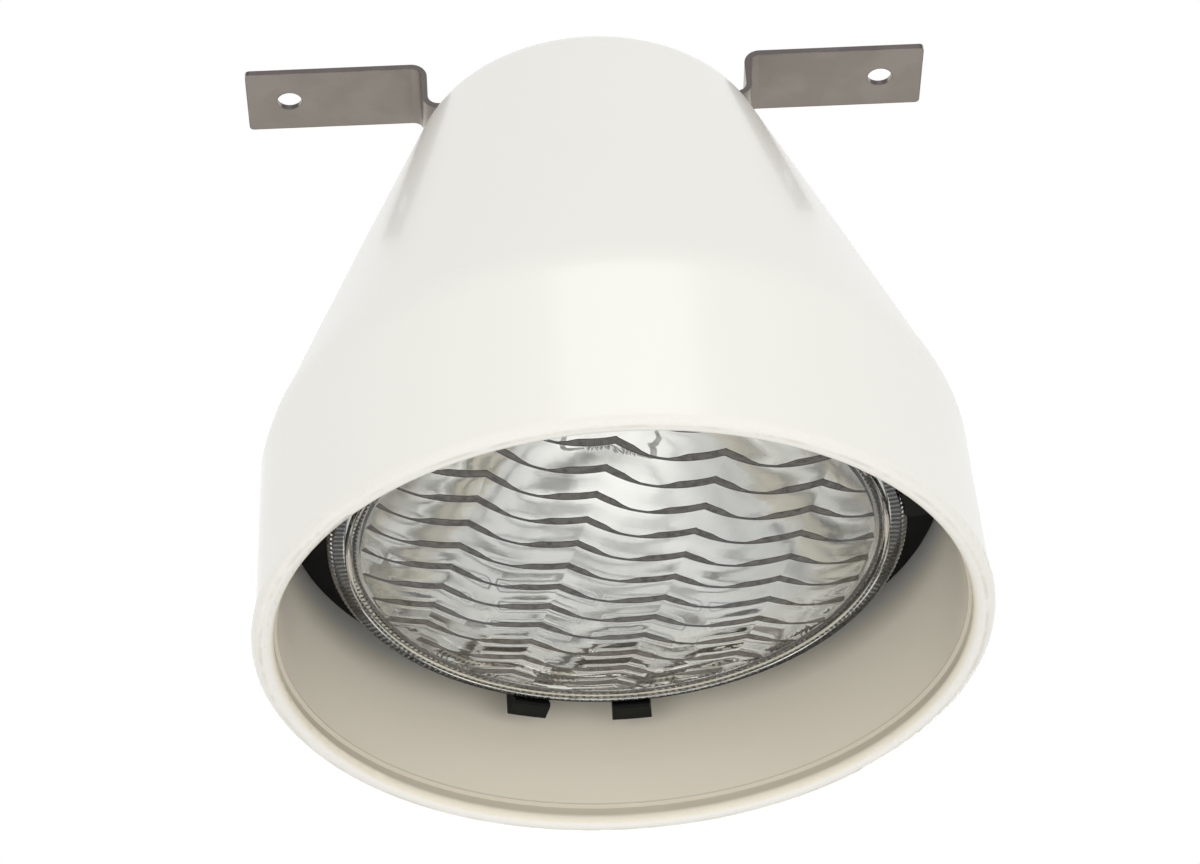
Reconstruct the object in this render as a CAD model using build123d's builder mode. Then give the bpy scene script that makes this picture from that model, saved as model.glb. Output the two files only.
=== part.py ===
from build123d import *
import os
from math import asin, atan, cos, degrees, radians, sin, tan

os.makedirs("parts", exist_ok=True)

# Spreader light hung under a flat surface by a bent steel strap, mouth facing down.
# The origin lies midway between the two strap holes, on the upper face of the tabs. +Z points up.

# Driving dimensions of the mounting strap, in millimetres
strap_thickness = 1.2
strap_width = 17.5
strap_height = 12.2
leg_gap = 67.2
strap_bend_radius = 2.2
strap_corner_radius = 1.0
tab_end_distance = 9.0
tab_hole_radius = 2.6

# Housing
pad_thickness = 1.0
back_radius = 33.6
cone_length = 89.5
collar_wall = 5.2
collar_flare = 1.4
collar_length = 39.8
rim_width = 4.5
rim_round = 1.9
lip_depth = 3.5
lip_step = 0.6
shell_wall = 4.0
back_corner_radius = 12.0
collar_blend_radius = 25.0
carrier_margin = 8.4
ledge_width = 6.9
ledge_thickness = 4.0
boss_radius = 4.2
boss_length = 7.0

# Lamp
flange_radius = 57.0
flange_thickness = 6.0
flange_chamfer = 1.2
lamp_recess = 22.1
focal_length = 17.6
seam_width = 4.0
glass_wall = 3.0
dome_margin = 4.3
dome_height = 6.5
ring_height = 1.0
ring_slope = 0.6
lens_thickness = 3.7
exhaust_tip_radius = 3.0
exhaust_tip_length = 6.5

# Lamp carrier
carrier_gasket_thickness = 1.0
carrier_thickness = 3.5
skirt_height = 3.5
lamp_gasket_thickness = 1.4
lug_thickness = 3.65
lug_width = 8.0
lug_pairs = 3
lug_pair_angle = 97.5
lug_half_spacing = 10.5
bead_reach = 0.95
bead_height = 1.0

# Lamp contacts
terminal_spacing = 18.0
ferrule_radius = 4.6
ferrule_height = 9.0
glass_boss_radius = 5.5
glass_boss_height = 1.8
post_radius = 0.6
post_bend_radius = 2.0
filament_length = 8.0
coil_radius = 1.0
coil_pitch = 1.0
filament_wire_radius = 0.2
lug_plate_length = 11.0
lug_plate_width = 9.0
lug_plate_thickness = 1.0
ring_plate_radius = 3.4
ring_plate_thickness = 0.8
barrel_length = 5.0
barrel_wall = 0.6

# Wiring inside the housing
lead_radius = 1.1
block_length = 34.0
block_width = 12.0
block_height = 12.0
block_offset = 16.0
block_pad_height = 2.0
block_pad_margin = 1.0
block_fixing_spacing = 28.0
clamp_radius = 2.4
clamp_bore_radius = 1.3
clamp_screw_spacing = 5.0
cable_bore_radius = 3.5
grommet_neck_radius = 4.9
grommet_flange_radius = 6.5
grommet_flange_height = 2.5
grommet_nipple_length = 4.0
grommet_nipple_radius = 4.6

# Fasteners
bracket_screw_spacing = 36.0
bracket_screw_radius = 2.45
bracket_head_radius = 4.6
bracket_head_height = 3.0
bracket_washer_radius = 5.5
bracket_washer_thickness = 1.2
bracket_nut_radius = 4.6
bracket_nut_height = 4.0
thread_protrusion = 1.5
small_screw_radius = 1.45
small_head_radius = 2.9
small_head_height = 2.0
small_screw_grip = 8.0
block_screw_grip = 3.6
terminal_screw_radius = 1.7
terminal_head_radius = 3.3
terminal_head_height = 2.2
terminal_screw_grip = 5.5
clamp_screw_radius = 1.2
clamp_head_radius = 1.9
clamp_head_height = 1.2
slot_width = 0.8
slot_share = 0.5

# Clearances
fit = 0.05
screw_play = 0.3
running_gap = 0.35
seat_gap = 0.3
wall_gap = 0.4

# Radii and lengths that follow from the lamp's size: carrier, housing and strap are made round it
reflector_radius = flange_radius - seam_width
dome_radius = flange_radius - dome_margin
reflector_depth = reflector_radius**2 / (4 * focal_length)
bowl_shoulder_radius = reflector_radius + glass_wall / 2
skirt_inner_radius = bowl_shoulder_radius - seat_gap
skirt_outer_radius = flange_radius + running_gap
lug_outer_radius = skirt_outer_radius + lug_thickness
pocket_radius = flange_radius + carrier_margin
carrier_radius = pocket_radius - wall_gap
ledge_radius = pocket_radius - ledge_width
carrier_screw_circle = (ledge_radius + pocket_radius) / 2 - wall_gap
collar_radius = pocket_radius + collar_wall
mouth_radius = collar_radius + collar_flare
mouth_bore_radius = mouth_radius - rim_width
strap_span = 2 * mouth_radius
tab_hole_spacing = strap_span - 2 * tab_end_distance
leg_outside = leg_gap / 2 + strap_thickness
cone_angle = atan((collar_radius - back_radius) / cone_length)
inner_back_radius = back_radius - shell_wall * (1 - sin(cone_angle)) / cos(cone_angle)
back_flat_radius = back_radius - back_corner_radius * tan((radians(90) - cone_angle) / 2)
barrel_start = lug_plate_length / 2 + wall_gap
barrel_bore_radius = lead_radius + fit

# Levels worked out from the sizes above
base_bottom_z = -strap_height
base_top_z = base_bottom_z + strap_thickness
back_z = base_bottom_z - pad_thickness
inner_back_z = back_z - shell_wall
collar_top_z = back_z - cone_length
mouth_z = collar_top_z - collar_length
flange_front_z = mouth_z + lamp_recess
flange_back_z = flange_front_z + flange_thickness
seam_z = flange_front_z + flange_thickness / 2
lamp_gasket_front_z = flange_back_z + seat_gap
lamp_gasket_back_z = lamp_gasket_front_z + lamp_gasket_thickness
carrier_front_z = lamp_gasket_back_z + skirt_height
carrier_back_z = carrier_front_z + carrier_thickness
seat_z = carrier_back_z + carrier_gasket_thickness
ledge_top_z = seat_z + ledge_thickness
bowl_inside_z = seam_z + reflector_depth
bowl_outside_z = bowl_inside_z + glass_wall
focus_z = bowl_inside_z - focal_length
boss_top_z = bowl_outside_z + glass_boss_height
ferrule_top_z = boss_top_z + ferrule_height
lug_plate_top_z = ferrule_top_z + lug_plate_thickness
ring_plate_top_z = lug_plate_top_z + ring_plate_thickness
barrel_z = lug_plate_top_z + ring_plate_thickness / 2
block_top_z = inner_back_z - block_pad_height
block_bottom_z = block_top_z - block_height
clamp_z = block_top_z - block_height / 2

# Places in plan
terminal_places = [(-terminal_spacing / 2, 0), (terminal_spacing / 2, 0)]
bracket_screw_places = [(-bracket_screw_spacing / 2, 0), (bracket_screw_spacing / 2, 0)]
fixing_places = [(-block_fixing_spacing / 2, block_offset), (block_fixing_spacing / 2, block_offset)]


def dome_arc(edge_radius, edge_z, height):
    """Half of a shallow dome, from its lowest point on the axis out to its edge."""
    sphere_radius = (edge_radius**2 + height**2) / (2 * height)
    centre_z = edge_z - height + sphere_radius
    half_angle = asin(edge_radius / sphere_radius) / 2
    middle = (sphere_radius * sin(half_angle), centre_z - sphere_radius * cos(half_angle))
    return ThreePointArc((0, edge_z - height), middle, (edge_radius, edge_z))


def slotted_screw(head, head_height, shank, length):
    """A screw that stands head up, with the underside of its head at z = 0."""
    with BuildPart() as screw:
        with BuildSketch():
            Circle(head)
        extrude(amount=head_height)
        fillet(screw.edges().group_by(Axis.Z)[-1], head_height / 3)
        with BuildSketch(Plane.XY.offset(head_height)):
            Rectangle(3 * head, slot_width)
        extrude(amount=-head_height * slot_share, mode=Mode.SUBTRACT)
        with BuildSketch():
            Circle(shank)
        extrude(amount=-length)
    return screw.part


def at_height(places, level):
    """The given places in plan, all at one height."""
    return [(x, y, level) for x, y in places]


# Bent steel strap: two tabs, two legs and a base that lies on the housing's back
strap_outline = [
    (-strap_span / 2, 0),
    (-leg_gap / 2, 0),
    (-leg_gap / 2, base_top_z),
    (leg_gap / 2, base_top_z),
    (leg_gap / 2, 0),
    (strap_span / 2, 0),
    (strap_span / 2, -strap_thickness),
    (leg_outside, -strap_thickness),
    (leg_outside, base_bottom_z),
    (-leg_outside, base_bottom_z),
    (-leg_outside, -strap_thickness),
    (-strap_span / 2, -strap_thickness),
]
inner_bend = strap_bend_radius
outer_bend = strap_bend_radius + strap_thickness
upper_bends = [0, outer_bend, inner_bend, inner_bend, outer_bend, 0]
lower_bends = [0, inner_bend, outer_bend, outer_bend, inner_bend, 0]
with BuildPart() as hat_bracket:
    with BuildSketch(Plane.XZ):
        with BuildLine():
            FilletPolyline(*strap_outline, radius=upper_bends + lower_bends, close=True)
        make_face()
    extrude(amount=strap_width / 2, both=True)
    tab_ends = hat_bracket.edges().filter_by(Axis.Z).group_by(SortBy.LENGTH)[0]
    end_edges = tab_ends.filter_by(lambda edge: abs(edge.center().X) > strap_span / 2 - strap_thickness)
    fillet(end_edges, strap_corner_radius)
    with BuildSketch(Plane.XY):
        with Locations((-tab_hole_spacing / 2, 0), (tab_hole_spacing / 2, 0)):
            Circle(tab_hole_radius)
    extrude(amount=-strap_thickness, mode=Mode.SUBTRACT)
    with BuildSketch(Plane.XY.offset(base_top_z)):
        with Locations(*bracket_screw_places):
            Circle(bracket_screw_radius + screw_play)
        Circle(grommet_flange_radius + wall_gap)
    extrude(amount=-strap_thickness, mode=Mode.SUBTRACT)
hat_bracket.part.label = "hat_bracket"
export_step(hat_bracket.part, "parts/hat_bracket.step")

# Rubber pad between the strap's base and the housing's back
pad_length = 2 * back_flat_radius
with BuildPart() as bracket_pad:
    with BuildSketch(Plane.XY.offset(base_bottom_z)):
        RectangleRounded(pad_length, strap_width, strap_corner_radius)
        with Locations(*bracket_screw_places):
            Circle(bracket_screw_radius + screw_play, mode=Mode.SUBTRACT)
        Circle(grommet_flange_radius + wall_gap, mode=Mode.SUBTRACT)
    extrude(amount=-pad_thickness)
bracket_pad.part.label = "bracket_pad"
export_step(bracket_pad.part, "parts/bracket_pad.step")

# Housing: rounded back, cone and collar, with a rolled rim and a ledge inside for the lamp carrier
ledge_cone_radius = inner_back_radius + (inner_back_z - ledge_top_z) * tan(cone_angle)
with BuildPart() as housing_shell:
    with BuildSketch(Plane.XZ):
        with BuildLine():
            FilletPolyline(
                (0, back_z),
                (back_radius, back_z),
                (collar_radius, collar_top_z),
                (mouth_radius, mouth_z),
                (mouth_bore_radius, mouth_z),
                (mouth_bore_radius, mouth_z + lip_depth),
                (mouth_bore_radius - lip_step, mouth_z + lip_depth + lip_step),
                (pocket_radius, seat_z),
                (ledge_radius, seat_z),
                (ledge_radius, ledge_top_z),
                (ledge_cone_radius, ledge_top_z),
                (inner_back_radius, inner_back_z),
                (0, inner_back_z),
                radius=[
                    0,
                    back_corner_radius,
                    collar_blend_radius,
                    rim_round,
                    rim_round,
                    0,
                    0,
                    0,
                    0,
                    0,
                    0,
                    back_corner_radius - shell_wall,
                    0,
                ],
                close=True,
            )
        make_face()
    revolve(axis=Axis.Z)
    with BuildSketch(Plane.XY.offset(ledge_top_z)):
        with PolarLocations(carrier_screw_circle, lug_pairs, lug_pair_angle):
            Circle(boss_radius)
    extrude(amount=boss_length)
    with BuildSketch(Plane.XY.offset(seat_z)):
        with PolarLocations(carrier_screw_circle, lug_pairs, lug_pair_angle):
            Circle(small_screw_radius + fit)
    extrude(amount=small_screw_grip + wall_gap, mode=Mode.SUBTRACT)
    with BuildSketch(Plane.XY.offset(inner_back_z)):
        with Locations((0, block_offset)):
            RectangleRounded(
                block_length + 2 * block_pad_margin, block_width + 2 * block_pad_margin, block_pad_margin
            )
    extrude(amount=-block_pad_height)
    with BuildSketch(Plane.XY.offset(block_top_z)):
        with Locations(*fixing_places):
            Circle(small_screw_radius + fit)
    extrude(amount=block_screw_grip + wall_gap, mode=Mode.SUBTRACT)
    with BuildSketch(Plane.XY.offset(back_z)):
        with Locations(*bracket_screw_places):
            Circle(bracket_screw_radius + screw_play)
        Circle(grommet_neck_radius + fit)
    extrude(amount=-shell_wall, mode=Mode.SUBTRACT)
housing_shell.part.label = "housing_shell"
export_step(housing_shell.part, "parts/housing_shell.step")

# Screws that hold the strap, with a washer and a nut each inside the housing
stack_height = strap_thickness + pad_thickness + shell_wall + bracket_washer_thickness + bracket_nut_height
with BuildPart() as bracket_screws:
    with Locations(*at_height(bracket_screw_places, base_top_z)):
        add(
            slotted_screw(
                bracket_head_radius,
                bracket_head_height,
                bracket_screw_radius,
                stack_height + thread_protrusion,
            )
        )
bracket_screws.part.label = "bracket_screws"
export_step(bracket_screws.part, "parts/bracket_screws.step")

with BuildPart() as bracket_washers:
    with BuildSketch(Plane.XY.offset(inner_back_z)):
        with Locations(*bracket_screw_places):
            Circle(bracket_washer_radius)
            Circle(bracket_screw_radius + screw_play, mode=Mode.SUBTRACT)
    extrude(amount=-bracket_washer_thickness)
bracket_washers.part.label = "bracket_washers"
export_step(bracket_washers.part, "parts/bracket_washers.step")

with BuildPart() as bracket_nuts:
    with BuildSketch(Plane.XY.offset(inner_back_z - bracket_washer_thickness)):
        with Locations(*bracket_screw_places):
            RegularPolygon(bracket_nut_radius, 6)
            Circle(bracket_screw_radius + fit, mode=Mode.SUBTRACT)
    extrude(amount=-bracket_nut_height)
bracket_nuts.part.label = "bracket_nuts"
export_step(bracket_nuts.part, "parts/bracket_nuts.step")

# Rubber grommet in the middle of the back, where the supply cable enters
grommet_top_z = back_z + grommet_flange_height
grommet_inner_z = inner_back_z - grommet_flange_height
grommet_end_z = grommet_inner_z - grommet_nipple_length
with BuildPart() as cable_grommet:
    with BuildSketch(Plane.XZ):
        with BuildLine():
            FilletPolyline(
                (cable_bore_radius, grommet_top_z),
                (grommet_flange_radius, grommet_top_z),
                (grommet_flange_radius, back_z),
                (grommet_neck_radius, back_z),
                (grommet_neck_radius, inner_back_z),
                (grommet_flange_radius, inner_back_z),
                (grommet_flange_radius, grommet_inner_z),
                (grommet_nipple_radius, grommet_inner_z),
                (grommet_nipple_radius, grommet_end_z),
                (cable_bore_radius, grommet_end_z),
                radius=[0, grommet_flange_height / 2, 0, 0, 0, 0, 0, 0, 0, 0],
                close=True,
            )
        make_face()
    revolve(axis=Axis.Z)
cable_grommet.part.label = "cable_grommet"
export_step(cable_grommet.part, "parts/cable_grommet.step")

# Gasket and black carrier ring that hold the lamp in the housing
with BuildPart() as carrier_gasket:
    with BuildSketch(Plane.XY.offset(seat_z)):
        Circle(carrier_radius)
        Circle(ledge_radius, mode=Mode.SUBTRACT)
        with PolarLocations(carrier_screw_circle, lug_pairs, lug_pair_angle):
            Circle(small_screw_radius + screw_play, mode=Mode.SUBTRACT)
    extrude(amount=-carrier_gasket_thickness)
carrier_gasket.part.label = "carrier_gasket"
export_step(carrier_gasket.part, "parts/carrier_gasket.step")

lug_angles = []
for pair in range(lug_pairs):
    middle_angle = lug_pair_angle + pair * 360 / lug_pairs
    lug_angles += [middle_angle - lug_half_spacing, middle_angle + lug_half_spacing]
bead_top_z = flange_front_z + flange_chamfer / 2 - seat_gap - bead_reach / 2
lug_end_z = bead_top_z - bead_height
lug_arc = degrees(lug_width / (skirt_outer_radius + lug_thickness / 2))
with BuildPart() as lamp_carrier:
    with BuildSketch(Plane.XY.offset(carrier_back_z)):
        Circle(carrier_radius)
        Circle(skirt_inner_radius, mode=Mode.SUBTRACT)
        with PolarLocations(carrier_screw_circle, lug_pairs, lug_pair_angle):
            Circle(small_screw_radius + screw_play, mode=Mode.SUBTRACT)
    extrude(amount=-carrier_thickness)
    with BuildSketch(Plane.XY.offset(carrier_front_z)):
        Circle(skirt_outer_radius)
        Circle(skirt_inner_radius, mode=Mode.SUBTRACT)
    extrude(amount=lamp_gasket_back_z - carrier_front_z)
    for lug_angle in lug_angles:
        with BuildSketch(Plane.XZ.rotated((0, 0, lug_angle - lug_arc / 2))):
            with BuildLine():
                Polyline(
                    (skirt_outer_radius, carrier_front_z),
                    (skirt_outer_radius, bead_top_z + bead_reach),
                    (skirt_outer_radius - bead_reach, bead_top_z),
                    (skirt_outer_radius - bead_reach, bead_top_z - bead_height / 2),
                    (skirt_outer_radius - bead_reach / 2, lug_end_z),
                    (lug_outer_radius, lug_end_z),
                    (lug_outer_radius, carrier_front_z),
                    close=True,
                )
            make_face()
        revolve(axis=Axis.Z, revolution_arc=lug_arc)
lamp_carrier.part.label = "lamp_carrier"
export_step(lamp_carrier.part, "parts/lamp_carrier.step")

with BuildPart() as carrier_screws:
    with PolarLocations(carrier_screw_circle, lug_pairs, lug_pair_angle):
        with Locations((0, 0, carrier_front_z)):
            add(
                slotted_screw(
                    small_head_radius,
                    small_head_height,
                    small_screw_radius,
                    carrier_thickness + carrier_gasket_thickness + small_screw_grip,
                ),
                rotation=(180, 0, 0),
            )
carrier_screws.part.label = "carrier_screws"
export_step(carrier_screws.part, "parts/carrier_screws.step")

with BuildPart() as lamp_gasket:
    with BuildSketch(Plane.XY.offset(lamp_gasket_back_z)):
        Circle(flange_radius)
        Circle(bowl_shoulder_radius + seat_gap, mode=Mode.SUBTRACT)
    extrude(amount=lamp_gasket_front_z - lamp_gasket_back_z)
lamp_gasket.part.label = "lamp_gasket"
export_step(lamp_gasket.part, "parts/lamp_gasket.step")

# Sealed lamp: a domed lens fused to a silvered glass bowl, whose section is an exact parabola
with BuildPart() as lamp_lens:
    with BuildSketch(Plane.XZ):
        with BuildLine():
            dome_arc(dome_radius, flange_front_z - ring_height, dome_height)
            Polyline(
                (dome_radius, flange_front_z - ring_height),
                (dome_radius + ring_slope, flange_front_z),
                (flange_radius - flange_chamfer, flange_front_z),
                (flange_radius, flange_front_z + flange_chamfer),
                (flange_radius, seam_z),
                (reflector_radius, seam_z),
            )
            inner_height = seam_z - flange_front_z + ring_height + dome_height - lens_thickness
            dome_arc(reflector_radius, seam_z, inner_height)
            Line((0, seam_z - inner_height), (0, flange_front_z - ring_height - dome_height))
        make_face()
    revolve(axis=Axis.Z)
lamp_lens.part.label = "lamp_lens"
export_step(lamp_lens.part, "parts/lamp_lens.step")

with BuildPart() as lamp_reflector:
    with BuildSketch(Plane.XZ):
        with BuildLine():
            Bezier((0, bowl_inside_z), (reflector_radius / 2, bowl_inside_z), (reflector_radius, seam_z))
            Polyline(
                (reflector_radius, seam_z),
                (flange_radius, seam_z),
                (flange_radius, flange_back_z),
                (bowl_shoulder_radius, flange_back_z),
            )
            Bezier(
                (bowl_shoulder_radius, flange_back_z),
                (bowl_shoulder_radius / 2, bowl_outside_z),
                (0, bowl_outside_z),
            )
            Line((0, bowl_outside_z), (0, bowl_inside_z))
        make_face()
    revolve(axis=Axis.Z)
    with BuildSketch(Plane.XY.offset(boss_top_z)):
        with Locations(*terminal_places):
            Circle(glass_boss_radius)
    extrude(amount=-glass_boss_height - glass_wall)
    with BuildSketch(Plane.XY.offset(bowl_outside_z - glass_wall / 2)):
        Circle(exhaust_tip_radius)
    extrude(amount=exhaust_tip_length, taper=15)
    with BuildSketch(Plane.XY.offset(boss_top_z)):
        with Locations(*terminal_places):
            Circle(post_radius + fit)
    extrude(amount=-glass_boss_height - 3 * glass_wall, mode=Mode.SUBTRACT)
lamp_reflector.part.label = "lamp_reflector"
export_step(lamp_reflector.part, "parts/lamp_reflector.step")

with BuildPart() as filament_coil:
    with BuildLine() as coil_line:
        Helix(
            coil_pitch,
            filament_length,
            coil_radius,
            center=(-filament_length / 2, 0, focus_z),
            direction=(1, 0, 0),
        )
    coil_start = coil_line.line @ 0
    with BuildSketch(Plane(origin=coil_start, z_dir=coil_line.line % 0)):
        Circle(filament_wire_radius)
    sweep(is_frenet=True)
filament_coil.part.label = "filament_coil"
export_step(filament_coil.part, "parts/filament_coil.step")

post_tip = filament_length / 2 + filament_wire_radius + 2 * fit
with BuildPart() as filament_posts:
    for side in (-1, 1):
        with BuildLine() as post_line:
            FilletPolyline(
                (side * terminal_spacing / 2, 0, boss_top_z),
                (side * terminal_spacing / 2, 0, focus_z),
                (side * post_tip, 0, focus_z),
                radius=post_bend_radius,
            )
        with BuildSketch(Plane(origin=post_line.line @ 0, z_dir=post_line.line % 0)):
            Circle(post_radius)
        sweep(path=post_line.line)
filament_posts.part.label = "filament_posts"
export_step(filament_posts.part, "parts/filament_posts.step")

# Metal caps on the bowl's back, the contact plates on them and their screws
with BuildPart() as reflector_ferrules:
    with BuildSketch(Plane.XY.offset(boss_top_z)):
        with Locations(*terminal_places):
            Circle(ferrule_radius)
    extrude(amount=ferrule_height)
    with BuildSketch(Plane.XY.offset(ferrule_top_z)):
        with Locations(*terminal_places):
            Circle(terminal_screw_radius + fit)
    extrude(amount=-terminal_screw_grip - wall_gap, mode=Mode.SUBTRACT)
reflector_ferrules.part.label = "reflector_ferrules"
export_step(reflector_ferrules.part, "parts/reflector_ferrules.step")

with BuildPart() as terminal_plates:
    with BuildSketch(Plane.XY.offset(ferrule_top_z)):
        with Locations(*terminal_places):
            RectangleRounded(lug_plate_width, lug_plate_length, lug_plate_thickness)
            Circle(terminal_screw_radius + screw_play, mode=Mode.SUBTRACT)
    extrude(amount=lug_plate_thickness)
terminal_plates.part.label = "terminal_plates"
export_step(terminal_plates.part, "parts/terminal_plates.step")

with BuildPart() as ring_terminals:
    with BuildSketch(Plane.XY.offset(lug_plate_top_z)):
        with Locations(*terminal_places):
            Circle(ring_plate_radius)
        with Locations(*[(x, -barrel_start / 2) for x, y in terminal_places]):
            Rectangle(2 * lead_radius, barrel_start + ring_plate_thickness)
        with Locations(*terminal_places):
            Circle(terminal_screw_radius + screw_play, mode=Mode.SUBTRACT)
    extrude(amount=ring_plate_thickness)
    with BuildSketch(Plane.XZ.offset(barrel_start)):
        with Locations(*[(x, barrel_z) for x, y in terminal_places]):
            Circle(barrel_bore_radius + barrel_wall)
    extrude(amount=barrel_length)
    with BuildSketch(Plane.XZ.offset(barrel_start)):
        with Locations(*[(x, barrel_z) for x, y in terminal_places]):
            Circle(barrel_bore_radius)
    extrude(amount=barrel_length, mode=Mode.SUBTRACT)
ring_terminals.part.label = "ring_terminals"
export_step(ring_terminals.part, "parts/ring_terminals.step")

with BuildPart() as terminal_screws:
    with Locations(*at_height(terminal_places, ring_plate_top_z)):
        add(
            slotted_screw(
                terminal_head_radius,
                terminal_head_height,
                terminal_screw_radius,
                ring_plate_thickness + lug_plate_thickness + terminal_screw_grip,
            )
        )
terminal_screws.part.label = "terminal_screws"
export_step(terminal_screws.part, "parts/terminal_screws.step")

# Terminal block on the housing's back, with two brass clamps and their screws
clamp_length = block_width - 2 * block_pad_margin
clamp_screw_places = [
    (x, block_offset + side * clamp_screw_spacing / 2) for x, y in terminal_places for side in (-1, 1)
]
with BuildPart() as terminal_block:
    with BuildSketch(Plane.XY.offset(block_top_z)):
        with Locations((0, block_offset)):
            RectangleRounded(block_length, block_width, block_pad_margin)
        with Locations(*fixing_places):
            Circle(small_screw_radius + screw_play, mode=Mode.SUBTRACT)
    extrude(amount=-block_height)
    with BuildSketch(Plane.XZ.offset(-block_offset)):
        with Locations(*[(x, clamp_z) for x, y in terminal_places]):
            Circle(clamp_radius + fit)
    extrude(amount=block_width, both=True, mode=Mode.SUBTRACT)
    with BuildSketch(Plane.XY.offset(block_bottom_z)):
        with Locations(*clamp_screw_places):
            Circle(clamp_head_radius + screw_play)
    extrude(amount=block_height / 2, mode=Mode.SUBTRACT)
terminal_block.part.label = "terminal_block"
export_step(terminal_block.part, "parts/terminal_block.step")

with BuildPart() as block_clamps:
    with BuildSketch(Plane.XZ.offset(-block_offset)):
        with Locations(*[(x, clamp_z) for x, y in terminal_places]):
            Circle(clamp_radius)
            Circle(clamp_bore_radius, mode=Mode.SUBTRACT)
    extrude(amount=clamp_length / 2, both=True)
    with BuildSketch(Plane.XY.offset(clamp_z)):
        with Locations(*clamp_screw_places):
            Circle(clamp_screw_radius + fit)
    extrude(amount=-clamp_radius - fit, mode=Mode.SUBTRACT)
block_clamps.part.label = "block_clamps"
export_step(block_clamps.part, "parts/block_clamps.step")

clamp_head_z = clamp_z - clamp_radius - screw_play
with BuildPart() as clamp_screws:
    with Locations(*at_height(clamp_screw_places, clamp_head_z)):
        add(
            slotted_screw(
                clamp_head_radius,
                clamp_head_height,
                clamp_screw_radius,
                clamp_z - clamp_bore_radius - clamp_head_z,
            ),
            rotation=(180, 0, 0),
        )
clamp_screws.part.label = "clamp_screws"
export_step(clamp_screws.part, "parts/clamp_screws.step")

with BuildPart() as block_fixing_screws:
    with Locations(*at_height(fixing_places, block_bottom_z)):
        add(
            slotted_screw(
                small_head_radius,
                small_head_height,
                small_screw_radius,
                block_height + block_screw_grip,
            ),
            rotation=(180, 0, 0),
        )
block_fixing_screws.part.label = "block_fixing_screws"
export_step(block_fixing_screws.part, "parts/block_fixing_screws.step")

# Two insulated leads, each from a ring terminal on the lamp round a slack bend into the terminal block
lead_points = [
    (-barrel_start - barrel_length / 3, barrel_z),
    (-19.0, barrel_z),
    (-24.0, barrel_z + 16.5),
    (-16.0, clamp_z - 4.5),
    (2.0, clamp_z),
    (block_offset - clamp_screw_spacing / 2 + clamp_screw_radius, clamp_z),
]


def lead_radii(points):
    """The largest bend at each inner point that its two runs leave room for."""
    radii = []
    for before, here, after in zip(points, points[1:], points[2:]):
        arriving = Vector(*here) - Vector(*before)
        leaving = Vector(*after) - Vector(*here)
        shorter_run = min(arriving.length, leaving.length)
        radii.append(0.45 * shorter_run / tan(radians(arriving.get_angle(leaving)) / 2))
    return radii


lead_bends = lead_radii(lead_points)
print("lead bend radii", [round(bend, 1) for bend in lead_bends])


def lead(x):
    """One lead in the plane at x, as a round bar along its path."""
    path_points = [(x, y, z) for y, z in lead_points]
    with BuildPart() as wire:
        with BuildLine() as wire_line:
            FilletPolyline(*path_points, radius=lead_bends)
        with BuildSketch(Plane(origin=wire_line.line @ 0, z_dir=wire_line.line % 0)):
            Circle(lead_radius)
        sweep(path=wire_line.line)
    return wire.part


with BuildPart() as lead_positive:
    add(lead(terminal_spacing / 2))
lead_positive.part.label = "lead_positive"
export_step(lead_positive.part, "parts/lead_positive.step")

with BuildPart() as lead_negative:
    add(lead(-terminal_spacing / 2))
lead_negative.part.label = "lead_negative"
export_step(lead_negative.part, "parts/lead_negative.step")
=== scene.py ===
import math

import bmesh
import bpy
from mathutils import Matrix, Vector


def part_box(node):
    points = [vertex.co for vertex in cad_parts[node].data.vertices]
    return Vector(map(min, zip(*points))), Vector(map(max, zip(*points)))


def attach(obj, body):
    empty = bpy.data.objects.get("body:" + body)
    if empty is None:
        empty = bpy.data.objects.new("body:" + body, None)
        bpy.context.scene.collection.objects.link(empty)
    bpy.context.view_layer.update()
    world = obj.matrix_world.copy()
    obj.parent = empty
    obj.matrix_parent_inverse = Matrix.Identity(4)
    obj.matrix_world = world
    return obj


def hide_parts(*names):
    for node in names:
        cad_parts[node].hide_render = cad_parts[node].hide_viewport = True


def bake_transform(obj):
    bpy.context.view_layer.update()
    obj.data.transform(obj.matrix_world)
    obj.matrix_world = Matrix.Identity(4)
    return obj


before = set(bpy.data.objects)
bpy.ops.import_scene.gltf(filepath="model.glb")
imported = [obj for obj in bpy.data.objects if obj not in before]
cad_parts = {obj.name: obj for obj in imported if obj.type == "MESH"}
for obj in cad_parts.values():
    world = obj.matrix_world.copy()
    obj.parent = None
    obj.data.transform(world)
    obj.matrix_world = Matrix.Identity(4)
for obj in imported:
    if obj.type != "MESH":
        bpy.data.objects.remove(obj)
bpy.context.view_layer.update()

# Camera
# The light is seen from below and a little to the left, through a long lens almost a metre away.
MM = 0.001
scene = bpy.context.scene
camera_place = (-30.1, -661.9, -577.3)
camera_turn = (126.29, 3.21, -0.08)
camera_focal_length = 123.07
camera_sensor_width = 36.0
camera_far_end = 20.0
camera = bpy.data.objects.new("camera", bpy.data.cameras.new("camera"))
camera.data.lens = camera_focal_length
camera.data.sensor_width = camera_sensor_width
camera.data.sensor_fit = "HORIZONTAL"
camera.data.clip_end = camera_far_end
camera.location = [MM * value for value in camera_place]
camera.rotation_euler = [math.radians(angle) for angle in camera_turn]
scene.collection.objects.link(camera)
scene.camera = camera

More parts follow.
